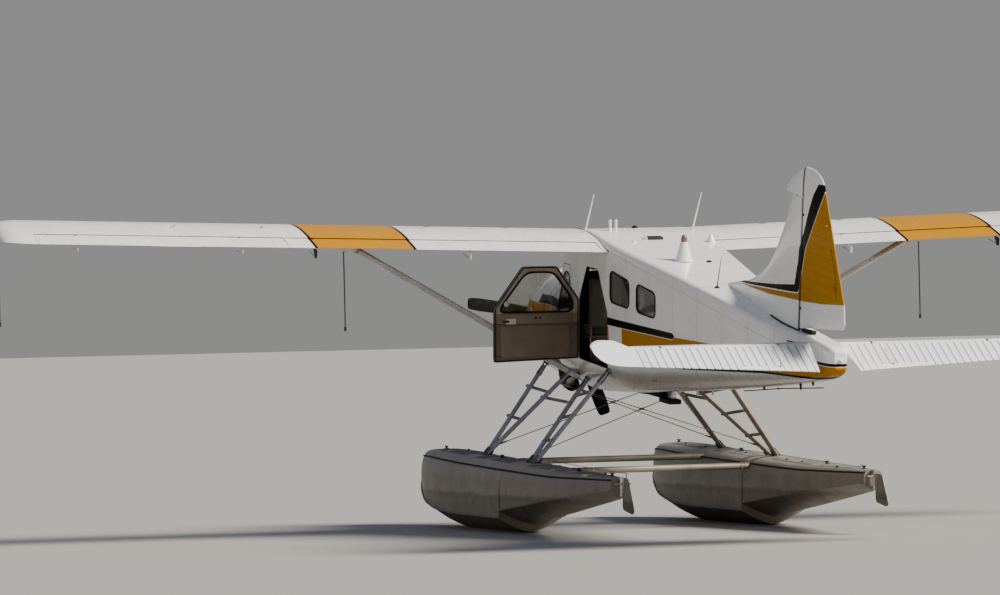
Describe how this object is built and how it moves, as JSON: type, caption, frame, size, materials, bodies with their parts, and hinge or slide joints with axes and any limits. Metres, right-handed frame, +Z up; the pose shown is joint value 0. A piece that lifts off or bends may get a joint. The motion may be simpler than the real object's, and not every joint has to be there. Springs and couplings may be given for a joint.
{
  "type": "single engined high wing utility floatplane",
  "caption": "High-wing utility floatplane with a radial engine in a round cowl, two struts, twin metal floats and its port cabin door standing open.",
  "frame": {"origin": "on the floor under the float keels, on the centre line, midway between the float bows and the trailing edge of the rudder", "axes": "+X to the port wing tip, +Y aft, +Z up"},
  "size_m": [14.6234, 10.13, 3.8207],
  "materials": {
    "white_paint": "gloss white paint on riveted aluminium",
    "yellow_paint": "gloss orange-yellow paint",
    "black_paint": "satin black paint",
    "engine_metal": "dark grey engine casting",
    "burnt_steel": "heat-stained steel",
    "strut_paint": "weathered grey paint",
    "float_metal": "weathered bare aluminium",
    "cable_steel": "bare steel wire",
    "dark_rope": "dark twisted rope",
    "cabin_trim": "worn plywood floor",
    "panel_black": "matte black panel",
    "seat_cloth": "dark woven seat cover",
    "window_glass": "clear acrylic window"
  },
  "bodies": {
    "airframe": {"cabin_shell": "white_paint", "rear_fuselage": "white_paint", "cabin_floor": "cabin_trim", "instrument_panel": "panel_black", "pilot_seat": "seat_cloth", "copilot_seat": "seat_cloth", "cabin_bench": "seat_cloth", "windshield": "window_glass", "rear_window_1_left": "window_glass", "rear_window_1_right": "window_glass", "rear_window_2_left": "window_glass", "rear_window_2_right": "window_glass", "engine": "engine_metal", "engine_cowl": "yellow_paint", "nose_cowling": "white_paint", "exhaust_pipe": "burnt_steel", "wing_left": "white_paint", "wing_right": "white_paint", "wing_strut_left": "white_paint", "wing_strut_right": "white_paint", "fin": "white_paint", "tailplane_left": "white_paint", "tailplane_right": "white_paint", "float_left": "float_metal", "float_right": "float_metal", "spreader_bar_front": "strut_paint", "spreader_bar_rear": "strut_paint", "float_struts_front_left": "strut_paint", "float_struts_front_right": "strut_paint", "float_struts_rear_left": "strut_paint", "float_struts_rear_right": "strut_paint", "brace_wires_front": "cable_steel", "brace_wires_rear": "cable_steel", "handling_rope_1_left": "dark_rope", "handling_rope_1_right": "dark_rope", "handling_rope_2_left": "dark_rope", "handling_rope_2_right": "dark_rope"},
    "propeller": {"propeller_hub": "black_paint", "propeller_blade_1": "black_paint", "propeller_blade_2": "black_paint", "propeller_blade_3": "black_paint"},
    "flap_left": {"flap_left": "white_paint"},
    "flap_right": {"flap_right": "white_paint"},
    "aileron_left": {"aileron_left": "white_paint"},
    "aileron_right": {"aileron_right": "white_paint"},
    "elevators": {"elevator_left": "white_paint", "elevator_right": "white_paint"},
    "rudder": {"rudder": "white_paint"},
    "crew_door_left": {"crew_door_left": "white_paint", "crew_door_window_left": "window_glass"},
    "crew_door_right": {"crew_door_right": "white_paint", "crew_door_window_right": "window_glass"},
    "cabin_door_left": {"cabin_door_left": "white_paint", "cabin_door_window_left": "window_glass"},
    "cabin_door_right": {"cabin_door_right": "white_paint", "cabin_door_window_right": "window_glass"},
    "water_rudder_left": {"water_rudder_left": "float_metal"},
    "water_rudder_right": {"water_rudder_right": "float_metal"}
  },
  "joints": [
    {"name": "propeller_spin", "type": "hinge", "parent": "airframe", "child": "propeller", "pos_m": [0, -4.115, 2.35], "axis": [0, -0.9962, 0.0872], "continuous": true},
    {"name": "flap_left_hinge", "type": "hinge", "parent": "airframe", "child": "flap_left", "pos_m": [2.43773, -0.89605, 3.16116], "axis": [0.9995, 0.0027, 0.0313], "range_deg": [-40, 0]},
    {"name": "aileron_left_hinge", "type": "hinge", "parent": "airframe", "child": "aileron_left", "pos_m": [5.58218, -0.88744, 3.2596], "axis": [0.9995, 0.0027, 0.0313], "range_deg": [-20, 20]},
    {"name": "flap_right_hinge", "type": "hinge", "parent": "airframe", "child": "flap_right", "pos_m": [-2.43773, -0.89605, 3.16116], "axis": [0.9995, -0.0027, -0.0313], "range_deg": [-40, 0]},
    {"name": "aileron_right_hinge", "type": "hinge", "parent": "airframe", "child": "aileron_right", "pos_m": [-5.58218, -0.88744, 3.2596], "axis": [0.9995, -0.0027, -0.0313], "range_deg": [-20, 20]},
    {"name": "elevator_hinge", "type": "hinge", "parent": "airframe", "child": "elevators", "pos_m": [0, 4.45253, 2.00498], "axis": [1, 0, 0], "range_deg": [0, 44]},
    {"name": "rudder_hinge", "type": "hinge", "parent": "airframe", "child": "rudder", "pos_m": [0, 3.8155, 2.17013], "axis": [0, 0.1568, 0.9876], "range_deg": [-25, 25]},
    {"name": "crew_door_left_hinge", "type": "hinge", "parent": "airframe", "child": "crew_door_left", "pos_m": [0.62733, -2.61199, 2.31889], "axis": [0, -0.0872, -0.9962], "range_deg": [0, 70]},
    {"name": "crew_door_right_hinge", "type": "hinge", "parent": "airframe", "child": "crew_door_right", "pos_m": [-0.62733, -2.61199, 2.31889], "axis": [0, 0.0872, 0.9962], "range_deg": [0, 70]},
    {"name": "cabin_door_left_hinge", "type": "hinge", "parent": "airframe", "child": "cabin_door_left", "pos_m": [0.652, -1.68678, 2.33832], "axis": [0, -0.0872, -0.9962], "range_deg": [-90, 0]},
    {"name": "cabin_door_right_hinge", "type": "hinge", "parent": "airframe", "child": "cabin_door_right", "pos_m": [-0.652, -1.68678, 2.33832], "axis": [0, 0.0872, 0.9962], "range_deg": [0, 90]},
    {"name": "water_rudder_left_hinge", "type": "hinge", "parent": "airframe", "child": "water_rudder_left", "pos_m": [1.4, 2.05, 0.57], "axis": [0, 0, 1], "range_deg": [-30, 30]},
    {"name": "water_rudder_right_hinge", "type": "hinge", "parent": "airframe", "child": "water_rudder_right", "pos_m": [-1.4, 2.05, 0.57], "axis": [0, 0, 1], "range_deg": [-30, 30]}
  ],
  "couplings": [
    {"joint": "flap_right_hinge", "follows": "flap_left_hinge", "ratio": 1},
    {"joint": "aileron_right_hinge", "follows": "aileron_left_hinge", "ratio": -1},
    {"joint": "water_rudder_left_hinge", "follows": "rudder_hinge", "ratio": 1.2},
    {"joint": "water_rudder_right_hinge", "follows": "rudder_hinge", "ratio": 1.2}
  ]
}
